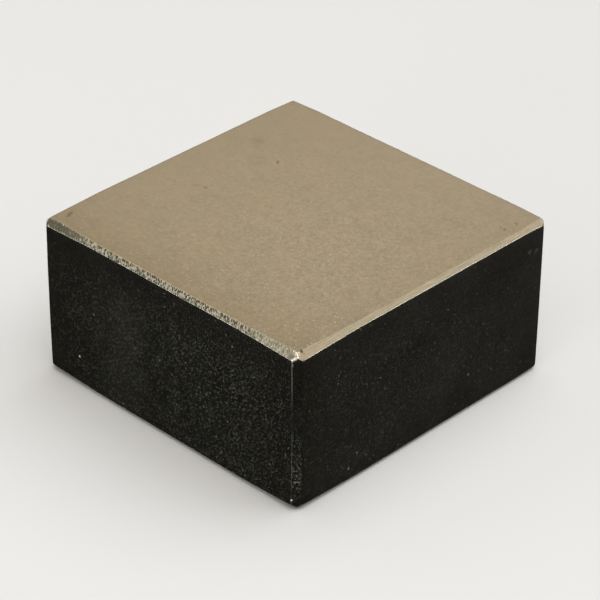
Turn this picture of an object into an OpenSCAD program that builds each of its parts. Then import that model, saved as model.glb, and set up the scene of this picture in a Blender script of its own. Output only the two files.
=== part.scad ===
// Block magnet: a square sintered block, plated all over, magnetised through its height.
// Millimetres. The origin is the centre of the lower pole face, with +Z towards the upper pole face.

/* [Block] */
// Length of the block, along X
block_length = 40; // [10:0.5:100]
// Width of the block, along Y
block_width = 40; // [10:0.5:100]
// Height between the two pole faces, along Z, the way the block is magnetised
block_height = 20; // [5:0.5:50]

/* [Edges] */
// Leg of the 45 degree chamfer on the edges around each pole face
pole_edge_chamfer = 0.6; // [0.1:0.05:2]
// Leg of the 45 degree chamfer on the upright edges between the side faces
side_edge_chamfer = 0.75; // [0.1:0.05:2]

/* [Hidden] */

// Warm, satin nickel plate
plate_colour = [0.69, 0.64, 0.55];

// A rectangle centred on the origin, with its four corners cut at 45 degrees
module cut_corner_rectangle(along_x, along_y, leg) {
    half_x = along_x / 2;
    half_y = along_y / 2;
    polygon([
        [half_x, leg - half_y],
        [half_x, half_y - leg],
        [half_x - leg, half_y],
        [leg - half_x, half_y],
        [-half_x, half_y - leg],
        [-half_x, leg - half_y],
        [leg - half_x, -half_y],
        [half_x - leg, -half_y]
    ]);
}

// The block seen from above, which carries the chamfers of the upright edges
module plan_prism() {
    linear_extrude(height = block_height)
        cut_corner_rectangle(block_length, block_width, side_edge_chamfer);
}

// The block seen along Y, which carries the pole-edge chamfers that run along Y
module front_prism() {
    translate([0, block_width / 2, block_height / 2])
        rotate([90, 0, 0])
            linear_extrude(height = block_width)
                cut_corner_rectangle(block_length, block_height, pole_edge_chamfer);
}

// The block seen along X, which carries the pole-edge chamfers that run along X
module side_prism() {
    translate([-block_length / 2, 0, block_height / 2])
        rotate([90, 0, 90])
            linear_extrude(height = block_length)
                cut_corner_rectangle(block_width, block_height, pole_edge_chamfer);
}

// The whole magnet, one sintered piece: what the three outlines have in common,
// so the three chamfers at each corner run together in a point
module magnet_block() {
    color(plate_colour)
        intersection() {
            plan_prism();
            front_prism();
            side_prism();
        }
}

magnet_block();
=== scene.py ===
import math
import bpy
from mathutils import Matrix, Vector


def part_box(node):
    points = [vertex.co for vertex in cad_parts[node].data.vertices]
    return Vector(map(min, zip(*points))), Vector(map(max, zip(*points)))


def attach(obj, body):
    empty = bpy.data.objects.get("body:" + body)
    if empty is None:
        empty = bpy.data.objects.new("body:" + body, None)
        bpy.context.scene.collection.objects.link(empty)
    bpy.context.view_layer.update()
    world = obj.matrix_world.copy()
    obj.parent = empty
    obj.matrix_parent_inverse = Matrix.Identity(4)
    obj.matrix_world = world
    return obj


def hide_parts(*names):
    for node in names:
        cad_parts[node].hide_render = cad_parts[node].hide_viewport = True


bl_info = {
    "name": "Block magnet",
    "version": (1, 0, 0),
    "blender": (4, 5, 0),
    "location": "3D View > Sidebar > Magnet",
    "description": "Makes a nickel plated block magnet with hand ground edges, on a plain studio floor",
    "category": "Add Mesh",
}

import bpy
from mathutils import Euler, Matrix, Vector

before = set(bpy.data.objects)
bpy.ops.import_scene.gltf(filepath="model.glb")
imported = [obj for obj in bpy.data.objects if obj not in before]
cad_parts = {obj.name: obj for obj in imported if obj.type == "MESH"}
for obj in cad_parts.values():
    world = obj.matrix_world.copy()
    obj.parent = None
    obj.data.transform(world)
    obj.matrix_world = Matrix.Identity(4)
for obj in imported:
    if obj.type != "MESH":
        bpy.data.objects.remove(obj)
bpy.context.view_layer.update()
BLOCK_LOW, BLOCK_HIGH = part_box("magnet_block")
BLOCK_SIZE = BLOCK_HIGH - BLOCK_LOW

MM = 0.001

# Shares of a chamfer's width that each row of faces takes, from the mitred tip to the seam
MITRE_STEPS = (0.20, 0.30, 0.50)
SEAM_STEPS = (0.22, 0.22, 0.20, 0.16, 0.12, 0.08)
# Fine columns along an edge for each cell of the flat face beside it
COLUMNS_PER_CELL = 10
# Points closer than this are the same point, where two parts of the surface meet
WELD_DISTANCE = 0.001 * MM
# How fast the extra width of a chamfer falls off with the distance from its corner
WEAR_SLOPE = 1 / 30
# Share of that extra width that the upright chamfer takes on, and where it has faded away
UPRIGHT_SHARE = 0.3
UPRIGHT_FADE = 6.0 * MM
# Distances over which a chamfer, a corner flat and a mitre's tip pass into what is beside them
GROUND_BLEND = 0.03 * MM
BLUNT_BLEND = 0.04 * MM
TIP_BLEND = 0.01 * MM
# Widths of the highlights painted along the seams, beside an upright chamfer and where it forks at its
# lower end
UPRIGHT_HIGHLIGHT = 0.022 * MM
FORK_HIGHLIGHT = 0.07 * MM
# The larger flats of the upper front corner reach this far, and fade out over the last part
FRONT_REACH = 2.5 * MM
FRONT_FADE = 1.0 * MM
# Sizes of the waves in a chamfer's width and of the teeth along its border
WANDER_SIZE = 6.0 * MM
TOOTH_SIZE = 0.40 * MM
# How far a groove shifts along its chamfer for each unit across it
GROOVE_LEAN = 0.35
# How far one step of the seed moves the random pattern
SEED_SHIFT = 0.37 * MM
# Width of the fine rim of each face, length of a mitred end, and cells along X, Y and Z
FACE_MARGIN = 1.2 * MM
END_ZONE = 2.0 * MM
CELLS = (80, 40, 22)


def a_length(name, millimetres, description):
    """A size that the panel shows, given in millimetres."""
    return bpy.props.FloatProperty(
        name=name, description=description, default=millimetres * MM, unit="LENGTH"
    )


def a_colour(name, default, description):
    """A colour that the panel shows."""
    return bpy.props.FloatVectorProperty(
        name=name, description=description, default=default, subtype="COLOR", size=3
    )


def a_share(name, default, description):
    """A share from 0 to 1 that the panel shows."""
    return bpy.props.FloatProperty(
        name=name, description=description, default=default, subtype="FACTOR", min=0.0, max=1.0
    )


class MagnetSizes(bpy.types.PropertyGroup):
    """Sizes of the block's edges and of the marks that grinding left on them"""

    pole_chamfer: a_length(
        "Pole edge chamfer", 0.485, "Leg around each pole face, up to its rounded seams"
    )
    side_chamfer: a_length("Side edge chamfer", 0.75, "Leg of the chamfer on each upright edge")
    seam_width: a_length("Seam width", 0.06, "Width of the rounded strip where a chamfer meets a face")
    leg_variation: a_length(
        "Chamfer variation", 0.05, "How much the width of a chamfer wanders along an edge"
    )
    wear_front: a_length("Front corner wear", 0.30, "Extra width of the chamfers by the front corner")
    wear_left: a_length("Left corner wear", 0.28, "Extra width of the chamfers by the left corner")
    wear_right: a_length("Right corner wear", 0.13, "Extra width of the chamfers by the right corner")
    wear_back: a_length("Back corner wear", 0.15, "Extra width of the chamfers by the back corner")
    edge_radius: a_length("Edge rounding", 0.030, "Rounding of the seams between chamfers and faces")
    corner_blunting: a_length(
        "Corner blunting", 0.08, "Depth of the small flats on the mitred edges at each corner"
    )
    front_blunting: a_length(
        "Front corner blunting", 0.115, "Depth of the larger flats at the upper front corner"
    )
    ragged_edge: a_length(
        "Ragged border", 0.07, "Height of the small teeth along the border of a pole face"
    )
    groove_depth: a_length(
        "Groove depth", 0.048, "Depth of the grinding grooves that run across a chamfer"
    )
    groove_pitch: a_length("Groove pitch", 0.17, "Distance from one grinding groove to the next")
    seed: bpy.props.IntProperty(
        name="Seed",
        description="Start of the random pattern of the grinding marks",
        default=4,
    )


class MagnetFinish(bpy.types.PropertyGroup):
    """Colours and gloss of the nickel plate, and of the shade and highlights painted on it"""

    plate_colour: a_colour("Plate", (0.69, 0.64, 0.55), "The nickel plate")
    plate_warm: a_colour("Warm plate", (0.67, 0.60, 0.48), "The plate where it has yellowed a little")
    mark_colour: a_colour("Marks", (0.26, 0.20, 0.14), "The small dark marks on the upper face")
    # Darker and browner tone along the front and the two ends of the faces
    edge_tone_colour: a_colour("Edge tone", (0.52, 0.46, 0.35), "The thin brown film along the front left edge")
    ground_colour: a_colour(
        "Ground chamfer", (0.77, 0.76, 0.66), "The chamfers, which are cleaner than the faces"
    )
    ground_warm: a_colour(
        "Warm chamfer", (0.79, 0.73, 0.63), "The chamfers where they have a faint pink tint"
    )
    # Painted shade of the grinding grooves, laid on dark dashes across the chamfers
    groove_shade_colour: a_colour(
        "Groove shade", (0.13, 0.125, 0.10), "Colour at the bottom of the grinding grooves"
    )
    stain_colour: a_colour(
        "Stains", (0.19, 0.175, 0.13), "The grey stains on the chamfers by the front corner"
    )
    # Pale colour of the specks, also used for the painted highlights, glints and sheen
    speck_and_highlight_colour: a_colour("Specks", (0.71, 0.72, 0.62), "The specks and the rubbed seams")
    # Darker olive tone on the middle of the chamfers by the left corner
    left_darkening_colour: a_colour(
        "Darkened chamfer", (0.24, 0.235, 0.185), "The dull olive film on the chamfer by the left corner"
    )
    face_roughness: a_share("Face roughness", 0.298, "Roughness of the flat faces")
    edge_roughness: a_share("Edge roughness", 0.278, "Roughness of the ground chamfers")
    # Strength of the highlights painted along the seams around the side faces
    seam_highlight: a_share(
        "Highlit seams", 0.50, "How much light the rubbed seams around the side faces scatter"
    )
    fine_dust: a_share("Fine specks", 0.15, "How much light the fine specks on the plate scatter")
    bright_dust: a_share(
        "Bright specks", 0.30, "How much light the few bright specks on the plate scatter"
    )
    grain_tilt: a_share(
        "Grain tilt", 0.12, "How far the small facets of the plate lean out of its surface"
    )


class StudioLook(bpy.types.PropertyGroup):
    """Colours and strengths of the floor and the lights"""

    floor_colour: a_colour("Floor", (0.72, 0.76, 0.83), "The floor")
    sky_colour: a_colour(
        "Room above", (0.55, 0.472, 0.362), "Light of the room above the floor, as the plate mirrors it"
    )
    card_colour: a_colour(
        "Grey card", (0.54, 0.50, 0.42), "Light of the grey card that the left chamfer mirrors"
    )
    ground_colour: a_colour(
        "Room below", (0.0014, 0.0027, 0.0038), "Light of the dark table that the side faces mirror"
    )
    overhead_strength: bpy.props.FloatProperty(
        name="Overhead light",
        description="Strength of the soft light that falls on the floor from above",
        default=1.6,
    )


def with_two(operation, swapped=False):
    """An operator that adds a Math node for a field and another value."""
    if swapped:
        return lambda field, other: field.tree.math(operation, other, field)
    return lambda field, other: field.tree.math(operation, field, other)


def with_one(operation):
    """An operator that adds a Math node for the field alone."""
    return lambda field: field.tree.math(operation, field)


class Field:
    """One value in a node tree, on which a rule is written as plain arithmetic."""

    __add__ = with_two("ADD")
    __radd__ = with_two("ADD", swapped=True)
    __sub__ = with_two("SUBTRACT")
    __rsub__ = with_two("SUBTRACT", swapped=True)
    __mul__ = with_two("MULTIPLY")
    __rmul__ = with_two("MULTIPLY", swapped=True)
    __truediv__ = with_two("DIVIDE")
    __rtruediv__ = with_two("DIVIDE", swapped=True)
    __abs__ = with_one("ABSOLUTE")
    exponential = with_one("EXPONENT")
    root = with_one("SQRT")
    sign = with_one("SIGN")
    rounded = with_one("ROUND")

    def __init__(self, tree, socket):
        self.tree = tree
        self.socket = socket

    def __neg__(self):
        return self * -1.0

    def logarithm(self):
        return self.tree.math("LOGARITHM", self, math.e)

    def clamped(self):
        return self.tree.math("ADD", self, 0.0, use_clamp=True)

    def above_zero(self):
        return self.tree.math("MAXIMUM", self, 0.0)


class Tree:
    """Adds nodes to a node tree, one call for each node."""

    def __init__(self, node_tree):
        self.node_tree = node_tree

    def node(self, kind, inputs=None, **settings):
        made = self.node_tree.nodes.new(kind)
        for name, value in settings.items():
            setattr(made, name, value)
        for key, value in (inputs or {}).items():
            self.feed(made.inputs[key], value)
        return made

    def feed(self, socket, value):
        if isinstance(value, Field):
            value = value.socket
        if isinstance(value, bpy.types.NodeSocket):
            self.node_tree.links.new(value, socket)
        elif socket.type == "RGBA":
            socket.default_value = (*value, 1.0)
        else:
            socket.default_value = value

    def field(self, kind, inputs=None, output=0, **settings):
        return Field(self, self.node(kind, inputs, **settings).outputs[output])

    def math(self, operation, *values, use_clamp=False):
        inputs = dict(enumerate(values))
        return self.field("ShaderNodeMath", inputs, operation=operation, use_clamp=use_clamp)

    def vector_math(self, operation, *values, output=0):
        return self.field("ShaderNodeVectorMath", dict(enumerate(values)), output, operation=operation)

    def scaled(self, vector, factor):
        made = self.node("ShaderNodeVectorMath", {0: vector}, operation="SCALE")
        self.feed(made.inputs["Scale"], factor)
        return Field(self, made.outputs[0])

    def combine(self, x, y, z):
        return self.field("ShaderNodeCombineXYZ", {0: x, 1: y, 2: z})

    def split(self, vector):
        parts = self.node("ShaderNodeSeparateXYZ", {0: vector})
        return [Field(self, output) for output in parts.outputs]

    def noise(self, vector, scale, detail=2.0, roughness=0.5):
        inputs = {"Vector": vector, "Scale": scale, "Detail": detail, "Roughness": roughness}
        return self.field("ShaderNodeTexNoise", inputs, noise_dimensions="3D")

    def larger(self, *values):
        top = values[0]
        for value in values[1:]:
            top = self.math("MAXIMUM", top, value)
        return top

    def mix_colour(self, factor, first, second):
        made = self.node("ShaderNodeMix", data_type="RGBA")
        self.feed(made.inputs[0], factor)
        self.feed(made.inputs[6], first)
        self.feed(made.inputs[7], second)
        return Field(self, made.outputs[2])


class GeometryTree(Tree):
    """A Geometry Nodes tree with named inputs and one geometry as its result."""

    def __init__(self, name):
        super().__init__(bpy.data.node_groups.new(name, "GeometryNodeTree"))
        self.node_tree.interface.new_socket("Geometry", in_out="OUTPUT", socket_type="NodeSocketGeometry")
        self.group_inputs = self.node_tree.nodes.new("NodeGroupInput")

    def input(self, name, kind="NodeSocketFloat"):
        self.node_tree.interface.new_socket(name, in_out="INPUT", socket_type=kind)
        return Field(self, self.group_inputs.outputs[name])

    def inputs(self, *names):
        return [self.input(name) for name in names]

    def grid(self, columns, rows, size_x=2.0, size_y=1.0):
        inputs = {"Size X": size_x, "Size Y": size_y, "Vertices X": columns + 1, "Vertices Y": rows + 1}
        return self.field("GeometryNodeMeshGrid", inputs)

    def result(self, geometry):
        group_output = self.node_tree.nodes.new("NodeGroupOutput")
        self.feed(group_output.inputs["Geometry"], geometry)
        return self.node_tree

    def use(self, group, *values):
        made = self.node("GeometryNodeGroup", dict(enumerate(values)), node_tree=group)
        return Field(self, made.outputs["Geometry"])

    def position(self):
        return self.split(self.field("GeometryNodeInputPosition"))

    def place(self, geometry, x, y, z):
        inputs = {"Geometry": geometry, "Position": self.combine(x, y, z)}
        return self.field("GeometryNodeSetPosition", inputs)

    def turn(self, geometry, degrees):
        angle = Euler([math.radians(part) for part in degrees])
        return self.field("GeometryNodeTransform", {"Geometry": geometry, "Rotation": angle})

    def lift(self, geometry, height):
        moved = self.combine(0.0, 0.0, height)
        return self.field("GeometryNodeTransform", {"Geometry": geometry, "Translation": moved})

    def join(self, geometries):
        made = self.node("GeometryNodeJoinGeometry")
        for geometry in geometries:
            self.node_tree.links.new(geometry.socket, made.inputs[0])
        return Field(self, made.outputs[0])

    def keep(self, geometry, name, value):
        inputs = {"Geometry": geometry, "Name": name, "Value": value}
        return self.field("GeometryNodeStoreNamedAttribute", inputs, data_type="FLOAT", domain="POINT")


def staircase(row, start, steps):
    """A rule that climbs by one step for each row after the starting row."""
    height = 0.0
    for number, step in enumerate(steps):
        height = height + step * (row - (start + number)).clamped()
    return height


def end_ramp(share, half, zone):
    """0 along the middle of an edge, rising to 1 or falling to -1 in the zone at each end."""
    reach = (abs(share) * half - (half - zone)) / zone
    return share.sign() * reach.clamped()


def edge_group(name, first_steps, last_steps):
    """A chamfer along X, between the face above it and the face in front of it, with mitred ends."""
    tree = GeometryTree(name)
    half_along, half_front, half_above = tree.inputs("Half along", "Half front", "Half above")
    leg, leg_above, leg_front = tree.inputs("Leg", "Leg above", "Leg front")
    zone = tree.input("End zone")
    columns = tree.input("Columns", "NodeSocketInt")
    rows = len(first_steps) + len(last_steps)
    grid = tree.grid(columns, rows)
    share, across, _ = tree.position()
    row = (0.5 - across) * rows
    first = staircase(row, 0, first_steps)
    last = staircase(row, len(first_steps), last_steps)
    tip_above = (leg + leg_above - leg_front) * 0.5
    tip_front = (leg + leg_front - leg_above) * 0.5
    tip_along = (leg_above + leg_front - leg) * 0.5
    inset_above = first * tip_above + last * (leg - tip_above)
    inset_front = leg - first * (leg - tip_front) - last * tip_front
    inset_along = leg_above + first * (tip_along - leg_above) + last * (leg_front - tip_along)
    along = share * half_along - end_ramp(share, half_along, zone) * inset_along
    return tree.result(tree.place(grid, along, inset_front - half_front, half_above - inset_above))


def border_group():
    """The rim of a flat face along X: fine columns at the seam, coarse cells where the face begins."""
    tree = GeometryTree("Face border")
    half_along, half_front, half_above = tree.inputs("Half along", "Half front", "Half above")
    leg, leg_along, seam = tree.inputs("Leg", "Leg along", "Seam width")
    margin, zone = tree.inputs("Margin", "End zone")
    cells = tree.input("Cells", "NodeSocketInt")
    columns = cells * COLUMNS_PER_CELL
    rows = 3
    grid = tree.grid(columns, rows)
    share, across, _ = tree.position()
    row = (across + 0.5) * rows
    shoulder = row.clamped() * seam + (row - 1.0).clamped() * seam * 1.5
    inner = (row - 2.0).clamped()
    fine = share * half_along - end_ramp(share, half_along, zone) * (leg_along + shoulder)
    cell_share = ((share + 1.0) * 0.5 * cells).rounded() / cells * 2.0 - 1.0
    coarse = cell_share * (half_along - leg_along - margin)
    along = fine + inner * (coarse - fine)
    inset = leg + shoulder + inner * (margin - seam * 2.5)
    return tree.result(tree.place(grid, along, inset - half_front, half_above))


def face_group(border):
    """A flat face that looks up, from its seams on all four sides to its middle."""
    tree = GeometryTree("Flat face")
    half_x, half_y, half_above = tree.inputs("Half X", "Half Y", "Half above")
    leg_x, leg_y, seam = tree.inputs("Leg X", "Leg Y", "Seam width")
    margin, zone = tree.inputs("Margin", "End zone")
    cells_x = tree.input("Cells X", "NodeSocketInt")
    cells_y = tree.input("Cells Y", "NodeSocketInt")
    size_x = (half_x - leg_x - margin) * 2.0
    size_y = (half_y - leg_y - margin) * 2.0
    middle = tree.grid(cells_x, cells_y, size_x, size_y)
    parts = [tree.lift(middle, half_above)]
    by_x = (half_x, leg_x, cells_x)
    by_y = (half_y, leg_y, cells_y)
    for quarter in range(4):
        (along, leg_along, cells), (front, leg, _) = (by_y, by_x) if quarter % 2 else (by_x, by_y)
        rim = tree.use(border, along, front, half_above, leg, leg_along, seam, margin, zone, cells)
        parts.append(tree.turn(rim, (0, 0, 90 * quarter)))
    return tree.result(tree.join(parts))


def block_surface(tree, half, pole_leg, side_leg, seam, margin, zone, cells):
    """The whole skin of the block: eight pole edges, four upright edges and six flat faces, welded."""
    pole_edge = edge_group("Pole edge", MITRE_STEPS, SEAM_STEPS)
    side_edge = edge_group("Side edge", SEAM_STEPS[::-1], SEAM_STEPS)
    flat_face = face_group(border_group())
    half_x, half_y, half_z = half
    cells_x, cells_y, cells_z = cells
    by_x = (half_x, half_y, cells_x)
    by_y = (half_y, half_x, cells_y)
    upright_columns = cells_z * COLUMNS_PER_CELL
    rim = (seam, margin, zone)
    parts = []
    for quarter in range(4):
        around = 90 * quarter
        along, front, cells_along = by_y if quarter % 2 else by_x
        columns = cells_along * COLUMNS_PER_CELL
        strip = tree.use(pole_edge, along, front, half_z, pole_leg, pole_leg, side_leg, zone, columns)
        parts.append(tree.turn(strip, (0, 0, around)))
        parts.append(tree.turn(strip, (180, 0, around)))
        legs = (side_leg, pole_leg, pole_leg)
        strip = tree.use(side_edge, half_z, front, along, *legs, zone, upright_columns)
        parts.append(tree.turn(tree.turn(strip, (0, -90, 0)), (0, 0, around)))
        side = tree.use(flat_face, along, half_z, front, side_leg, pole_leg, *rim, cells_along, cells_z)
        parts.append(tree.turn(side, (90, 0, around)))
    face = tree.use(flat_face, half_x, half_y, half_z, pole_leg, pole_leg, *rim, cells_x, cells_y)
    parts.append(face)
    parts.append(tree.turn(face, (180, 0, 0)))
    welded = {"Geometry": tree.join(parts), "Distance": WELD_DISTANCE}
    return tree.field("GeometryNodeMergeByDistance", welded)


# Unit normals of a chamfer and of the flats on a corner, where all three axes count as positive
CHAMFER = math.sqrt(1 / 2)
FLAT = math.sqrt(1 / 6)


class SkinPlane:
    """One plane of the block in the corner where x, y and z are positive, and how far off it is."""

    def __init__(self, folded, normal, reach):
        self.normal = normal
        self.distance = -reach
        for part, axis in zip(normal, folded):
            if part:
                self.distance = self.distance + axis * part


def skin_planes(folded, half, pole_leg, side_leg, mitre_cut, arm_cut_x, arm_cut_y):
    """The faces, the chamfers and the corner flats. Twelve edges and eight corners fold into one."""
    hx, hy, hz = half
    tip_side = side_leg * 0.5
    tip_pole = pole_leg - tip_side
    px, py, pz = hx - tip_side, hy - tip_side, hz - tip_pole
    faces = [
        SkinPlane(folded, (1, 0, 0), hx),
        SkinPlane(folded, (0, 1, 0), hy),
        SkinPlane(folded, (0, 0, 1), hz),
    ]
    chamfers = [
        SkinPlane(folded, (0, CHAMFER, CHAMFER), (hy + hz - pole_leg) * CHAMFER),
        SkinPlane(folded, (CHAMFER, 0, CHAMFER), (hx + hz - pole_leg) * CHAMFER),
        SkinPlane(folded, (CHAMFER, CHAMFER, 0), (hx + hy - side_leg) * CHAMFER),
    ]
    flats = [
        SkinPlane(folded, (FLAT, FLAT, 2 * FLAT), (px + py + pz * 2.0) * FLAT - mitre_cut),
        SkinPlane(folded, (2 * FLAT, FLAT, FLAT), (px * 2.0 + py + pz) * FLAT - arm_cut_x),
        SkinPlane(folded, (FLAT, 2 * FLAT, FLAT), (px + py * 2.0 + pz) * FLAT - arm_cut_y),
    ]
    return faces, chamfers, flats


def rounding_shift(tree, planes, radius):
    """How far each axis moves inward, so that the planes run into each other in small rounds."""
    weights = [(plane.distance / radius).exponential() for plane in planes]
    total = weights[0]
    for weight in weights[1:]:
        total = total + weight
    lean = []
    for axis in range(3):
        lean.append(sum(w * p.normal[axis] for w, p in zip(weights, planes) if p.normal[axis]))
    length = (lean[0] * lean[0] + lean[1] * lean[1] + lean[2] * lean[2]).root()
    depth = total.logarithm() * radius / length
    return [part * depth for part in lean]


def block_tree():
    """The tree that makes the magnet: the chamfered block, then what grinding did to its edges."""
    tree = GeometryTree("Magnet block")
    length, width, height = tree.inputs("Length", "Width", "Height")
    pole_leg, side_leg, seam = tree.inputs("Pole edge chamfer", "Side edge chamfer", "Seam width")
    margin, zone = tree.inputs("Face margin", "End zone")
    cells = [tree.input("Cells along " + axis, "NodeSocketInt") for axis in "XYZ"]
    variation, radius, ragged = tree.inputs("Chamfer variation", "Edge rounding", "Ragged border")
    wear_front, wear_left = tree.inputs("Front corner wear", "Left corner wear")
    wear_right, wear_back = tree.inputs("Right corner wear", "Back corner wear")
    blunting, front_blunting = tree.inputs("Corner blunting", "Front corner blunting")
    groove_depth, groove_pitch = tree.inputs("Groove depth", "Groove pitch")
    seed = tree.input("Seed", "NodeSocketInt")
    material = tree.input("Material", "NodeSocketMaterial")

    half = (length * 0.5, width * 0.5, height * 0.5)
    skin = block_surface(tree, half, pole_leg, side_leg, seam, margin, zone, cells)

    spot = tree.position()
    here = [axis + seed * SEED_SHIFT for axis in spot]
    toward = [axis.sign() for axis in spot]
    folded = [abs(axis) for axis in spot]
    depth = [half[i] - folded[i] for i in range(3)]

    # How much longer the chamfer legs are at this place: they widen towards each corner
    wander = tree.noise(tree.combine(*here), 1.0 / WANDER_SIZE, 2.0) - 0.5
    leg_change = variation * 2.0 * wander
    front_corners = ((1, -1, wear_front), (-1, -1, wear_left))
    back_corners = ((1, 1, wear_right), (-1, 1, wear_back))
    for side_x, side_y, wear in front_corners + back_corners:
        off_x = spot[0] - half[0] * side_x
        off_y = spot[1] - half[1] * side_y
        away = (off_x * off_x + off_y * off_y).root()
        leg_change = leg_change + (wear - away * WEAR_SLOPE).above_zero()

    # A seam moves within its own face, and the face beyond the seam is left as it was
    hold_end = margin + pole_leg
    hold_start = side_leg + seam * 3.0
    half_side = side_leg * 0.5
    tip_depth = pole_leg - half_side

    def spread(inset):
        outer = (inset / half_side).clamped() * (UPRIGHT_SHARE * 0.5)
        return outer + ((inset - half_side) / tip_depth).clamped() * (1.0 - UPRIGHT_SHARE * 0.5)

    fall = [((hold_end - inset) / (hold_end - hold_start)).clamped() for inset in depth]
    under_tip = ((depth[2] - tip_depth) / TIP_BLEND).clamped()
    fade = (1.0 - (depth[2] - pole_leg) / UPRIGHT_FADE).clamped()
    follow = []
    for i in range(2):
        on_top = spread(depth[i])
        on_side = (depth[i] / side_leg).clamped() * UPRIGHT_SHARE * fade
        follow.append((on_top + under_tip * (on_side - on_top)) * fall[i])
    follow.append((1.0 - spread(pole_leg - depth[2])) * fall[2])

    # The flats on the corners, largest at the upper front corner
    to_front = tree.vector_math(
        "DISTANCE", tree.combine(*spot), tree.combine(half[0], -half[1], half[2]), output=1
    )
    front = ((FRONT_REACH - to_front) / FRONT_FADE).clamped()
    more = (front_blunting - blunting) * front
    faces, chamfers, flats = skin_planes(
        folded, half, pole_leg, side_leg, blunting + more, blunting, blunting + more
    )
    rounding = rounding_shift(tree, faces + chamfers + flats, radius)
    blunt = tree.larger(*[(1.0 + flat.distance / BLUNT_BLEND).clamped() for flat in flats])

    # Small teeth along the border of each pole face
    tooth = tree.noise(tree.combine(*here), 1.0 / TOOTH_SIZE, 2.0, 0.7) - 0.5
    at_pole = (1.0 - depth[2] / (pole_leg * 0.35)).clamped()

    # Grooves across each chamfer, made by the wheel that ran along it
    ground = 0.0
    shifts = [follow[i] * leg_change + rounding[i] for i in range(3)]
    for along, strength, cleaned in ((0, 1.0, 1.0), (1, 0.25, 0.85), (2, 0.45, 0.70)):
        chamfer = chamfers[along]
        on_chamfer = (1.0 + chamfer.distance / GROUND_BLEND).clamped()
        lateral = depth[1] if along == 0 else depth[0]
        belly = (lateral / pole_leg * 5.0).clamped()
        if along == 2:
            belly = belly * (depth[1] / pole_leg * 5.0).clamped()
        leaning = here[along] + lateral * GROOVE_LEAN
        across = [here[i] * 0.45 for i in range(3)]
        across[along] = leaning
        cut = tree.noise(tree.combine(*across), 1.0 / groove_pitch, 1.5, 0.6)
        cut = ((cut - 0.5) * 2.2 + 0.5).clamped()
        ground = ground + on_chamfer * cleaned
        push = on_chamfer * belly * cut * groove_depth * strength * (1.0 - blunt)
        for i in range(3):
            if chamfer.normal[i]:
                shifts[i] = shifts[i] + push * chamfer.normal[i]
    for i in range(2):
        shifts[i] = shifts[i] + follow[i] * ragged * tooth * at_pole

    # Where highlights are painted along the seams around the side faces
    upright_seam = tree.math("MINIMUM", chamfers[2].distance, faces[1].distance)
    over_chamfers = tree.larger(chamfers[0].distance, chamfers[1].distance)
    fork_seam = tree.math("MINIMUM", chamfers[2].distance, over_chamfers)
    # No highlight is painted on a fork on the upper half, where this takes it out of reach
    fork_seam = fork_seam - (1.0 + spot[2].sign()) * MM
    highlit = (1.0 + tree.larger(upright_seam / UPRIGHT_HIGHLIGHT, fork_seam / FORK_HIGHLIGHT)).clamped()
    skin = tree.keep(skin, "ground", ground.clamped())
    skin = tree.keep(skin, "highlit", highlit)
    skin = tree.keep(skin, "blunt", blunt)
    moved = [spot[i] - toward[i] * shifts[i] for i in range(3)]
    skin = tree.place(skin, *moved)
    skin = tree.lift(skin, half[2])
    skin = tree.field("GeometryNodeSetShadeSmooth", {"Geometry": skin, "Shade Smooth": True})
    skin = tree.field("GeometryNodeRealizeInstances", {"Geometry": skin})
    skin = tree.field("GeometryNodeSetMaterial", {"Geometry": skin, "Material": material})
    return tree.result(skin)


def built_piece(name, tree, values):
    """Runs a Geometry Nodes tree and keeps what it makes as a plain mesh."""
    seed_mesh = bpy.data.meshes.new(name)
    piece = bpy.data.objects.new(name, seed_mesh)
    bpy.context.scene.collection.objects.link(piece)
    modifier = piece.modifiers.new("Shape", "NODES")
    modifier.node_group = tree
    sockets = {item.name: item for item in tree.interface.items_tree if item.in_out == "INPUT"}
    for socket_name, value in values.items():
        modifier[sockets[socket_name].identifier] = value
    evaluated = piece.evaluated_get(bpy.context.evaluated_depsgraph_get())
    mesh = bpy.data.meshes.new_from_object(evaluated)
    piece.modifiers.remove(modifier)
    piece.data = mesh
    mesh.name = name
    if len(mesh.polygons) == 0:
        raise RuntimeError(name + " came out empty")
    return piece


class ShaderTree(Tree):
    """The nodes of one material, with a principled shader ready to be fed."""

    def __init__(self, name):
        self.material = bpy.data.materials.new(name)
        self.material.use_nodes = True
        super().__init__(self.material.node_tree)
        self.shader = self.node_tree.nodes["Principled BSDF"]

    def millimetres(self):
        """The place on the object, in millimetres."""
        spot = self.field("ShaderNodeTexCoord", output="Object")
        inputs = {"Vector": spot, "Scale": (1000.0, 1000.0, 1000.0)}
        return self.field("ShaderNodeMapping", inputs)

    def attribute(self, name):
        return self.field("ShaderNodeAttribute", output="Fac", attribute_name=name)


# Small dark marks on the upper face: X and Y from its centre, length and width, all in
# millimetres, then the turn in degrees and how dark it is
TOP_MARKS = (
    (-10.1, 7.4, 0.55, 0.26, -50, 0.55),
    (-11.8, -2.5, 0.45, 0.28, -35, 0.40),
    (-12.9, -2.9, 0.70, 0.30, 35, 0.18),
    (-15.3, 9.3, 1.30, 0.80, 20, 0.18),
    (-14.4, 8.2, 0.90, 0.60, -40, 0.12),
    (-18.15, -17.35, 1.05, 0.36, -62, 0.60),
    (17.57, 14.55, 0.30, 0.22, -45, 0.40),
    (18.18, 14.53, 0.28, 0.20, -45, 0.65),
    (18.3, 16.38, 0.34, 0.22, -45, 0.60),
    (-15.6, -4.1, 1.10, 0.30, 10, 0.14),
)
TOP_MARK_DEPTH = 0.5

# Marks on the chamfers by the front corner: place and size in X, Y and Z, and how dark it is
CHAMFER_MARKS = (
    (18.93, -19.80, 19.62, 0.84, 0.58, 0.52, 0.66),
    (19.45, -19.74, 19.70, 0.13, 0.13, 0.26, 0.90),
    (19.30, -18.72, 19.93, 0.22, 0.22, 0.40, 1.3),
    (17.60, -19.80, 19.80, 0.60, 0.26, 0.50, 0.35),
    (19.58, -18.60, 19.93, 0.14, 0.26, 0.50, 0.50),
)
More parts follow.
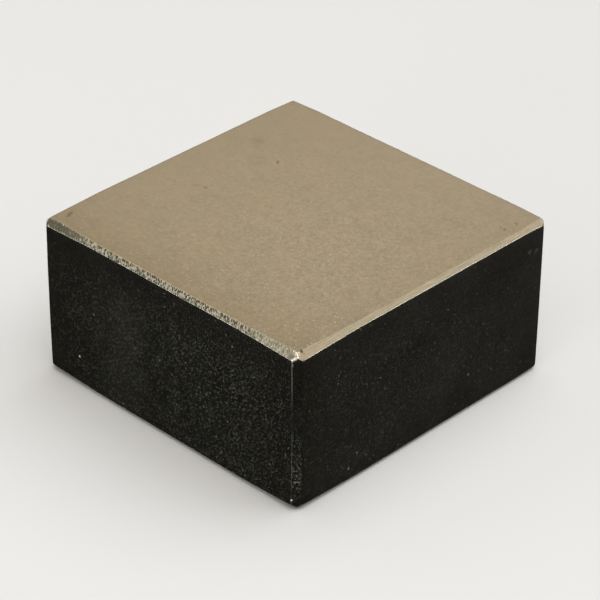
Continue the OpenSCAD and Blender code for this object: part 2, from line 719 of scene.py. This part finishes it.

# Painted highlights on the corners and by the front upright chamfer, and bright specks on the side faces:
# place and size, and how bright it is
HIGHLIGHT_AND_SPECK_MARKS = (
    (19.53, -19.50, 19.85, 0.24, 0.24, 0.30, 1.20),
    (19.40, -19.82, 19.48, 0.28, 0.28, 0.28, 1.00),
    (19.80, 19.70, 19.60, 0.80, 0.80, 0.90, 0.60),
    (-19.85, -19.75, 19.60, 0.62, 0.62, 1.00, 0.60),
    (19.25, -20.00, 1.43, 0.17, 0.17, 0.17, 1.6),
    (19.63, -19.63, 3.80, 0.55, 0.55, 0.08, 0.25),
    (19.25, -20.00, 18.70, 0.14, 0.14, 0.30, 0.30),
    (-14.35, -20.00, 4.05, 0.20, 0.20, 0.20, 0.75),
    (-11.65, -20.00, 10.88, 0.22, 0.22, 0.22, 0.14),
    (-1.00, -20.00, 9.80, 0.18, 0.18, 0.18, 0.28),
    (20.00, -12.00, 1.90, 0.20, 0.20, 0.20, 0.22),
    (20.00, -10.70, 3.40, 0.18, 0.18, 0.18, 0.18),
    (20.00, 7.30, 5.00, 0.20, 0.20, 0.20, 0.20),
    (20.00, 16.95, 16.80, 0.40, 0.40, 0.36, 0.05),
    (20.00, 18.10, 16.50, 0.36, 0.36, 0.36, 0.05),
)

# Sizes of the patterns in the plate, in millimetres
FACET_SIZE = 0.17
GRAIN_SIZE = 0.45
PATCH_SIZE = 2.2
TINT_SIZE = 2.6
CLUSTER_SIZE = 4.0
CLOUD_SIZE = 9.0
# Specks: pitch and radius in millimetres, and the share of the grid's cells that hold one
FINE_SPECKS = (0.15, 0.088, 0.42)
BRIGHT_SPECKS = (0.8, 0.12, 0.22)
SPARKLES = (0.36, 0.11, 0.30)
# Cells along and across a chamfer, in millimetres, for the dots that are drawn out on it
SHORT_DASH = (0.22, 0.42)
LONG_DASH = (0.23, 0.70)
GLINT = (0.24, 0.50)
UPRIGHT_SPECK = (0.33, 0.23)
# A smoother plate would lose its fine grain when the picture is denoised
LOWEST_ROUGHNESS = 0.277
HALF_X = BLOCK_SIZE.x / MM / 2
HALF_Y = BLOCK_SIZE.y / MM / 2
TOP_Z = BLOCK_SIZE.z / MM


def mark(tree, spot, place, size, strength, turn=0.0):
    """How strongly one small oval mark changes each place."""
    turned = (0.0, 0.0, math.radians(turn))
    inputs = {"Vector": spot, "Location": place, "Rotation": turned, "Scale": size}
    inside = tree.field("ShaderNodeMapping", inputs, vector_type="TEXTURE")
    away = tree.vector_math("LENGTH", inside, output=1)
    return ((1.0 - away) * 1.6).clamped() * strength


def marks(tree, spot, table):
    """All the marks of a table, each with its place, size and strength."""
    return tree.larger(*[mark(tree, spot, row[0:3], row[3:6], row[6]) for row in table])


def chamfer_place(tree, spot):
    """Where a place is along and across its chamfer, and which of X, Y and Z the chamfer follows."""
    x, y, z = tree.split(spot)
    in_x = HALF_X - abs(x)
    in_y = HALF_Y - abs(y)
    in_z = TOP_Z / 2 - abs(z - TOP_Z / 2)
    runs_x = tree.math("GREATER_THAN", in_x, tree.larger(in_y, in_z))
    runs_y = tree.math("GREATER_THAN", in_y, tree.larger(in_x, in_z))
    runs_z = 1.0 - runs_x - runs_y
    along = runs_x * x + runs_y * (y + 50.0) + runs_z * (z + 100.0)
    across = runs_x * (in_y - in_z) + runs_y * (in_x - in_z) + runs_z * (in_x - in_y)
    return along, across * CHAMFER, runs_x, runs_y, runs_z


def loose_dots(tree, vector, pitch, radius, share, dimensions="3D", looseness=1.0):
    """Round dots in a loose grid, in this share of its cells. Above 1, all have one, more alike."""
    inputs = {"Vector": vector, "Scale": 1.0 / pitch, "Randomness": looseness}
    cells = tree.node("ShaderNodeTexVoronoi", inputs, voronoi_dimensions=dimensions)
    luck = tree.split(Field(tree, cells.outputs["Color"]))[0]
    strength = ((luck - (1.0 - share)) / share).clamped()
    inside = ((1.0 - Field(tree, cells.outputs["Distance"]) * (pitch / radius)) * 1.6).clamped()
    return inside * strength


def drawn_dots(tree, along, across, cell, radius, share, looseness=1.0):
    """Dots on a chamfer, drawn out to the shape of these cells, with a radius in cells."""
    place = tree.combine(along / cell[0], across / cell[1], 0.0)
    return loose_dots(tree, place, 1.0, radius, share, "2D", looseness)


def fading(tree, distance, rate):
    """1 where the distance is nil, and halved this many times for each millimetre."""
    return tree.math("POWER", 2.0, distance * -rate)


class PlatePlace:
    """What the finish asks of a place: where it is, which way it faces and what it is part of."""

    def __init__(self, tree):
        self.spot = tree.millimetres()
        self.x, self.y, self.z = tree.split(self.spot)
        self.ground = tree.attribute("ground")
        # Where highlights are painted along the seams
        self.highlit = tree.attribute("highlit")
        self.blunt = tree.attribute("blunt")
        self.along, self.across, self.runs_x, self.runs_y, self.runs_z = chamfer_place(tree, self.spot)
        self.leaning = self.along + self.across * GROOVE_LEAN
        self.normal = tree.field("ShaderNodeNewGeometry", output="Normal")
        to_right, to_back, up = tree.split(self.normal)
        self.on_right = to_right.above_zero()
        self.on_front = (-to_back).above_zero()
        self.on_top = up.above_zero()
        self.clouds = tree.noise(self.spot, 1.0 / CLOUD_SIZE, 2.0, 0.5)
        self.patches = tree.noise(self.spot, 1.0 / PATCH_SIZE, 3.0, 0.6)
        # The grain is coarser towards the front corner and finer towards the left and the right
        coarse = tree.larger(((self.x - self.y) * 0.020 + 0.84).clamped(), 0.27)
        self.coarse = coarse * (1.25 - abs(self.x + self.y - 4.0) * 0.017)
        grain = (tree.noise(self.spot, 1.0 / GRAIN_SIZE, 5.0, 0.8) - 0.5) * 9.0
        self.grain = grain * self.coarse * (0.4 + self.on_top * 0.5)


def facet_normal(tree, look, here):
    """The grain of the plate: small facets that each lean their own way."""
    cells = tree.node("ShaderNodeTexVoronoi", {"Vector": here.spot, "Scale": 1.0 / FACET_SIZE})
    facet = tree.vector_math("SUBTRACT", Field(tree, cells.outputs["Color"]), (0.5, 0.5, 0.5))
    facet = tree.scaled(facet, here.coarse * look.grain_tilt)
    return tree.vector_math("NORMALIZE", tree.vector_math("ADD", here.normal, facet))


def face_colour(tree, look, here):
    """The plate on the faces: yellowed in patches, and darker and browner along three sides, most along
    the front edge.
    """
    warm = ((here.clouds - 0.45) * 1.6 + (here.patches - 0.5) * 1.2).clamped()
    plate = tree.mix_colour(warm, look.plate_colour, look.plate_warm)
    # Darker and browner towards the front, and a little towards the right and left ends
    tone = fading(tree, here.y + HALF_Y, 0.30) * 0.80
    tone = tone + fading(tree, HALF_X - here.x, 0.40) * 0.30
    tone = tone + fading(tree, here.x + HALF_X, 0.10) * 0.28
    plate = tree.mix_colour(tone.clamped(), plate, look.edge_tone_colour)
    uneven = here.grain * 0.12 + (here.patches - 0.5) * 0.20 + (here.clouds - 0.5) * 0.12
    return tree.scaled(plate, 1.0 + uneven)


def chamfer_colour(tree, look, here):
    """The ground chamfers: a faint tint that comes and goes, and fine lines across or along them."""
    tint = (tree.noise(here.spot, 1.0 / TINT_SIZE, 1.0) - 0.42) * 4.0
    tint = tint + here.runs_y * ((here.y - 8.0) / 8.0).clamped() * 0.7
    cleaned = tree.mix_colour(tint.clamped(), look.ground_colour, look.ground_warm)
    lines = tree.noise(tree.combine(here.leaning * 7.0, here.across * 0.9, 0.0), 1.0, 2.0, 0.6) - 0.5
    cleaned = tree.scaled(cleaned, 1.0 + lines * (1.0 - here.blunt) * (0.40 + 0.30 * here.runs_x))
    drawn = tree.noise(tree.combine(here.along * 0.35, here.across * 9.0, 0.0), 1.0, 2.0, 0.6) - 0.5
    return tree.scaled(cleaned, 1.0 + (drawn * 1.20 + 0.03) * here.runs_y)


def left_corner_darkening(tree, here):
    """Where the middle of the chamfers is darker and olive, by the left corner."""
    corner = (-HALF_X, -HALF_Y, 0.0)
    left = tree.vector_math("DISTANCE", tree.combine(here.x, here.y, 0.0), corner, output=1)
    inner = ((0.55 - abs(here.across)) / 0.25).clamped()
    return ((9.0 - left + (here.patches - 0.5) * 4.0) / 5.0).clamped() * inner * here.ground * 0.95


def groove_shade_dashes(tree, here, left_darkening):
    """Painted shade of the grinding grooves: dark dashes that lean across the chamfers, most of them on
    those that follow X.
    """
    short = drawn_dots(tree, here.leaning, here.across, SHORT_DASH, 0.40, 1.5, 0.75)
    long = drawn_dots(tree, here.leaning, here.across, LONG_DASH, 0.42, 1.3, 0.75)
    dark = (tree.larger(short * 0.8, long) * 3.4).clamped() * (1.0 - left_darkening * 0.45)
    by_front = 1.0 - ((here.x - 11.5) / 3.0).clamped() * 0.4
    amount = here.runs_x * by_front + here.runs_y * 0.10 + here.runs_z * 0.3
    return dark * here.ground * (1.0 - here.blunt) * amount


def top_marks(tree, here):
    """The small dark marks on the upper face."""
    found = []
    for at_x, at_y, long, wide, turn, dark in TOP_MARKS:
        size = (long, wide, TOP_MARK_DEPTH)
        found.append(mark(tree, here.spot, (at_x, at_y, TOP_Z), size, dark, turn))
    return tree.larger(*found).clamped()


def dust_and_sheen(tree, look, here):
    """What scatters light on the faces: a thin haze that is painted sheen, fine specks in clusters, a few
    bright ones, and sparkles that are painted glints on the upper face.
    """
    cluster = ((tree.noise(here.spot, 1.0 / CLUSTER_SIZE, 2.0, 0.6) - 0.45) * 5.0).clamped()
    gain = 1.0 + here.on_front * 0.9 + here.on_right * 1.35
    off_front = here.y - here.x + HALF_X + HALF_Y
    gain = gain * (0.45 + (off_front / 7.0).clamped() * 0.55)
    below_top = ((TOP_Z + 0.5 - here.z) / 6.0).clamped()
    fine = loose_dots(tree, here.spot, *FINE_SPECKS) * (0.65 + cluster * 0.30) * look.fine_dust
    fine = fine * (gain * below_top + here.on_top * 0.4)
    bright = loose_dots(tree, here.spot, *BRIGHT_SPECKS) * look.bright_dust
    bright = bright * gain * (1.0 - here.on_top - here.on_right * 0.74)
    # Painted glints on the upper face
    sparkles = loose_dots(tree, here.spot, *SPARKLES) * here.on_top * 0.34
    # Painted sheen as a thin haze: more on the right face, less at the left end of the front face, and
    # more in a swathe on the front face
    haze = 0.001 + here.on_right * 0.004 + (here.clouds - 0.5) * (0.006 + here.on_right * 0.014)
    haze = haze - here.on_front * (1.0 - ((here.x + HALF_X) / 8.0).clamped()) * 0.012
    swathe = (1.0 - abs(here.x + 7.0) / 5.0).clamped() * ((18.0 - here.z) / 5.0).clamped()
    haze = haze + here.on_front * swathe * 0.012
    return (haze.above_zero() + (fine + bright + sparkles) * here.coarse) * (1.0 - here.ground)


def edge_specks_and_highlights(tree, look, here, left_darkening, stain):
    """What scatters light on the edges: specks low on the upright chamfers, highlights painted along the
    seams and glints painted on the chamfers along X.
    """
    low = ((10.5 - here.z) / 3.5).clamped() * 0.85 + ((16.0 - here.z) / 3.0).clamped() * 0.15
    low = low * ((here.z - 0.8) / 2.5).clamped() * here.runs_z * here.ground
    upright = drawn_dots(tree, here.z, here.across, UPRIGHT_SPECK, 0.45, 0.8) * low * 0.26
    flicker = (tree.noise(tree.combine(0.0, 0.0, here.z), 1.2, 3.0, 0.7) - 0.5) * 2.0 + 0.8
    line = ((here.z - 13.0) / 3.0).clamped() + (0.7 - abs(here.z - 6.5) * 0.16).above_zero() + 0.12
    line = tree.larger(flicker.above_zero() * line, ((1.4 - here.z) / 0.4).clamped() * 0.9)
    # Painted highlight along the seams around the side faces
    seams = ((here.highlit - 0.35) * 1.5).clamped() * line * look.seam_highlight
    # Painted glints on the chamfers along X
    glints = drawn_dots(tree, here.leaning, here.across, GLINT, 0.45, 0.35, 0.9)
    clean = here.ground * here.runs_x * (1.0 - left_darkening) * (1.0 - here.blunt) * (1.0 - stain)
    glints = glints * clean * (0.4 - ((here.x - 12.0) / 4.0).clamped() * 0.2)
    return upright + seams + glints


def plate_roughness(tree, look, here):
    """How matt the plate is: a little uneven on the faces, and smoother on the chamfers."""
    uneven = (here.clouds - 0.5) * 0.06 + (here.patches - 0.5) * 0.05
    matt = here.grain * 0.006 + uneven * (0.15 + here.on_top * 0.45)
    matt = matt - (1.0 - here.on_top - here.on_right) * 0.010
    roughness = look.face_roughness + matt * (1.0 - here.ground)
    roughness = roughness + here.ground * (look.edge_roughness - look.face_roughness)
    return tree.larger(roughness, LOWEST_ROUGHNESS)


def nickel_material(look):
    """Satin nickel plate: fine grain on the faces, ground and grooved on the chamfers, with painted
    groove shade, painted sheen and painted highlights.
    """
    tree = ShaderTree("nickel_plate")
    here = PlatePlace(tree)
    left_darkening = left_corner_darkening(tree, here)
    stain = marks(tree, here.spot, CHAMFER_MARKS).clamped()

    faces = face_colour(tree, look, here)
    plate = tree.mix_colour(here.ground, faces, chamfer_colour(tree, look, here))
    plate = tree.mix_colour(left_darkening, plate, look.left_darkening_colour)
    # Painted shade of the grinding grooves
    dashes = groove_shade_dashes(tree, here, left_darkening) * (1.0 - stain * 0.7)
    plate = tree.mix_colour(dashes, plate, look.groove_shade_colour)
    plate = tree.mix_colour(stain, plate, look.stain_colour)
    plate = tree.mix_colour(top_marks(tree, here), plate, look.mark_colour)

    # What scatters light is also paler than the plate, so that the painted sheen, highlights and glints
    # come out bright along with the specks
    scatter = dust_and_sheen(tree, look, here) + edge_specks_and_highlights(tree, look, here, left_darkening, stain)
    # Painted highlights and bright specks from the table of marks
    scatter = (scatter + marks(tree, here.spot, HIGHLIGHT_AND_SPECK_MARKS)).clamped()
    paler = (scatter * (22.0 - here.on_top * 16.0)).clamped()
    plate = tree.mix_colour(paler, plate, look.speck_and_highlight_colour)

    tree.feed(tree.shader.inputs["Base Color"], plate)
    tree.feed(tree.shader.inputs["Metallic"], 1.0 - scatter)
    tree.feed(tree.shader.inputs["Normal"], facet_normal(tree, look, here))
    tree.feed(tree.shader.inputs["Roughness"], plate_roughness(tree, look, here))
    return tree.material


class MAGNET_OT_block(bpy.types.Operator):
    """Make the magnet block with its ground edges and its nickel plate"""

    bl_idname = "magnet.block"
    bl_label = "Magnet block"

    def execute(self, context):
        shape = context.scene.magnet_sizes
        values = {
            "Length": BLOCK_SIZE.x,
            "Width": BLOCK_SIZE.y,
            "Height": BLOCK_SIZE.z,
            "Face margin": FACE_MARGIN,
            "End zone": END_ZONE,
            "Material": nickel_material(context.scene.magnet_finish),
        }
        for axis, count in zip("XYZ", CELLS):
            values["Cells along " + axis] = count
        # The tree's other inputs have the names that the panel shows
        for name in MagnetSizes.__annotations__:
            values[shape.bl_rna.properties[name].name] = getattr(shape, name)
        block = built_piece("ground_block", block_tree(), values)
        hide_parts("magnet_block")
        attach(block, "root")
        return {"FINISHED"}


# The camera: where it looks, from which side and how far off, as the photograph was taken
LOOK_AT = Vector((1.433 * MM, -0.596 * MM, 10.0 * MM))
AZIMUTH = math.radians(44.12)
ELEVATION = math.radians(32.45)
ROLL = math.radians(0.55)
DISTANCE = 312.1 * MM
FOCAL_PIXELS = 2767.0
PICTURE_PIXELS = 600.0
SENSOR_MM = 36.0


# Soft lamps around the block: azimuth and elevation in degrees, width and height in metres,
# radiance and colour
WHITE = (1.0, 0.97, 0.94)
SOFTBOXES = {
    "front_top_softbox": (46, 57, 0.16, 0.16, 3.5, WHITE),
    "left_high_softbox": (8, 48, 0.20, 0.20, 0.9, (1.0, 1.0, 0.95)),
    "left_low_softbox": (-36, 4, 0.22, 0.10, 3.0, (0.96, 1.0, 1.0)),
    "right_low_softbox": (127, 4, 0.22, 0.10, 2.8, (1.0, 1.0, 1.0)),
    "right_high_softbox": (138, 36, 0.34, 0.28, 0.06, (1.0, 1.0, 0.9)),
    "top_left_card": (-95, 53, 0.26, 0.26, 0.4, (1.0, 0.95, 0.8)),
    "front_left_card": (11, 14, 0.14, 0.14, 3.4, WHITE),
    "right_back_card": (-166, 9.5, 0.10, 0.10, 2.0, WHITE),
    "front_right_card": (80, 14, 0.06, 0.06, 2.0, WHITE),
}
LAMP_DISTANCE = 0.5
# The grey card that the left chamfer mirrors: its middle, and how near to it the light changes
CARD_AZIMUTH = math.radians(-47)
CARD_ELEVATION = math.radians(37)
CARD_EDGE = 0.82
CARD_BLEND = 0.12
# Height of a direction above the horizon, as a share of 1, at which the room is fully pale
HORIZON_BLEND = 0.40
FLOOR_HALF_WIDTH = 4.0


def direction(azimuth, elevation):
    """The way from the block to a place at this azimuth and elevation, in radians."""
    level = math.cos(elevation)
    return Vector((math.sin(azimuth) * level, -math.cos(azimuth) * level, math.sin(elevation)))


def make_camera():
    camera = bpy.data.objects.new("camera", bpy.data.cameras.new("camera"))
    bpy.context.scene.collection.objects.link(camera)
    back = direction(AZIMUTH, ELEVATION)
    right = (-back).cross(Vector((0, 0, 1))).normalized()
    up = right.cross(-back)
    level_right = math.cos(ROLL) * right + math.sin(ROLL) * up
    level_up = math.cos(ROLL) * up - math.sin(ROLL) * right
    turn = Matrix((level_right, level_up, back)).transposed().to_4x4()
    camera.matrix_world = Matrix.Translation(LOOK_AT + back * DISTANCE) @ turn
    camera.data.sensor_width = SENSOR_MM
    camera.data.lens = FOCAL_PIXELS * SENSOR_MM / PICTURE_PIXELS
    camera.data.clip_start = 0.01
    camera.data.clip_end = 10.0
    camera.data.dof.use_dof = False
    bpy.context.scene.camera = camera


def make_softbox(name, azimuth, elevation, wide, tall, radiance, colour):
    """A flat lamp that faces the block, as bright as its radiance says."""
    lamp = bpy.data.lights.new(name, "AREA")
    lamp.shape = "RECTANGLE"
    lamp.size = wide
    lamp.size_y = tall
    lamp.energy = radiance * math.pi * wide * tall
    lamp.color = colour
    holder = bpy.data.objects.new(name, lamp)
    bpy.context.scene.collection.objects.link(holder)
    way = direction(math.radians(azimuth), math.radians(elevation))
    holder.matrix_world = (
        Matrix.Translation(Vector((0, 0, BLOCK_SIZE.z / 2)) + way * LAMP_DISTANCE)
        @ way.to_track_quat("Z", "Y").to_matrix().to_4x4()
    )


def make_room(look):
    """The light that comes from everywhere: a pale room above and a dark table below."""
    world = bpy.data.worlds.new("room")
    bpy.context.scene.world = world
    world.use_nodes = True
    tree = Tree(world.node_tree)
    background = world.node_tree.nodes["Background"]
    way = tree.field("ShaderNodeTexCoord", output="Generated")
    height = tree.split(way)[2]
    above = (height / HORIZON_BLEND).clamped()
    above = above * above * (3.0 - above * 2.0)
    middle = direction(CARD_AZIMUTH, CARD_ELEVATION)
    toward_card = tree.vector_math("DOT_PRODUCT", way, middle, output=1)
    card = ((toward_card - CARD_EDGE) / CARD_BLEND).clamped()
    sky = tree.mix_colour(card, look.sky_colour, look.card_colour)
    mirrored = tree.mix_colour(above, look.ground_colour, sky)
    seen = tree.field("ShaderNodeLightPath", output="Is Camera Ray")
    shown = tree.mix_colour(seen, mirrored, look.floor_colour)
    tree.feed(background.inputs["Color"], shown)


def make_floor(look):
    half = FLOOR_HALF_WIDTH
    corners = [(-half, -half, 0), (half, -half, 0), (half, half, 0), (-half, half, 0)]
    mesh = bpy.data.meshes.new("floor")
    mesh.from_pydata(corners, [], [(0, 1, 2, 3)])
    floor = bpy.data.objects.new("floor", mesh)
    bpy.context.scene.collection.objects.link(floor)
    material = bpy.data.materials.new("pale_floor")
    material.use_nodes = True
    shader = material.node_tree.nodes["Principled BSDF"]
    shader.inputs["Base Color"].default_value = (*look.floor_colour, 1.0)
    shader.inputs["Roughness"].default_value = 0.9
    shader.inputs["Specular IOR Level"].default_value = 0.1
    mesh.materials.append(material)
    floor.visible_glossy = False


class MAGNET_OT_studio(bpy.types.Operator):
    """Make the floor, the lights and the camera"""

    bl_idname = "magnet.studio"
    bl_label = "Studio"

    def execute(self, context):
        look = context.scene.magnet_studio
        make_camera()
        make_room(look)
        make_floor(look)
        sun = bpy.data.lights.new("overhead", "SUN")
        sun.energy = look.overhead_strength
        sun.angle = math.radians(70)
        sun.color = (1.0, 0.98, 0.95)
        overhead = bpy.data.objects.new("overhead", sun)
        overhead.rotation_euler = (math.radians(-18), math.radians(12), 0)
        overhead.visible_glossy = False
        context.scene.collection.objects.link(overhead)
        for name, lamp in SOFTBOXES.items():
            make_softbox(name, *lamp)
        context.scene.view_settings.view_transform = "Standard"
        return {"FINISHED"}


class MAGNET_PT_panel(bpy.types.Panel):
    """Sizes, finish and studio of the block magnet"""

    bl_idname = "MAGNET_PT_panel"
    bl_label = "Block magnet"
    bl_space_type = "VIEW_3D"
    bl_region_type = "UI"
    bl_category = "Magnet"

    def draw(self, context):
        scene = context.scene
        for title, group in (
            ("Edges", scene.magnet_sizes),
            ("Finish", scene.magnet_finish),
            ("Studio", scene.magnet_studio),
        ):
            box = self.layout.box()
            box.label(text=title)
            for name in group.__annotations__:
                box.prop(group, name)
        self.layout.operator(MAGNET_OT_block.bl_idname)
        self.layout.operator(MAGNET_OT_studio.bl_idname)


CLASSES = (MagnetSizes, MagnetFinish, StudioLook, MAGNET_OT_block, MAGNET_OT_studio, MAGNET_PT_panel)


def register():
    for cls in CLASSES:
        bpy.utils.register_class(cls)
    bpy.types.Scene.magnet_sizes = bpy.props.PointerProperty(type=MagnetSizes)
    bpy.types.Scene.magnet_finish = bpy.props.PointerProperty(type=MagnetFinish)
    bpy.types.Scene.magnet_studio = bpy.props.PointerProperty(type=StudioLook)


def unregister():
    del bpy.types.Scene.magnet_sizes
    del bpy.types.Scene.magnet_finish
    del bpy.types.Scene.magnet_studio
    for cls in reversed(CLASSES):
        bpy.utils.unregister_class(cls)


def main():
    register()
    bpy.ops.magnet.block()
    bpy.ops.magnet.studio()


if __name__ == "__main__":
    main()
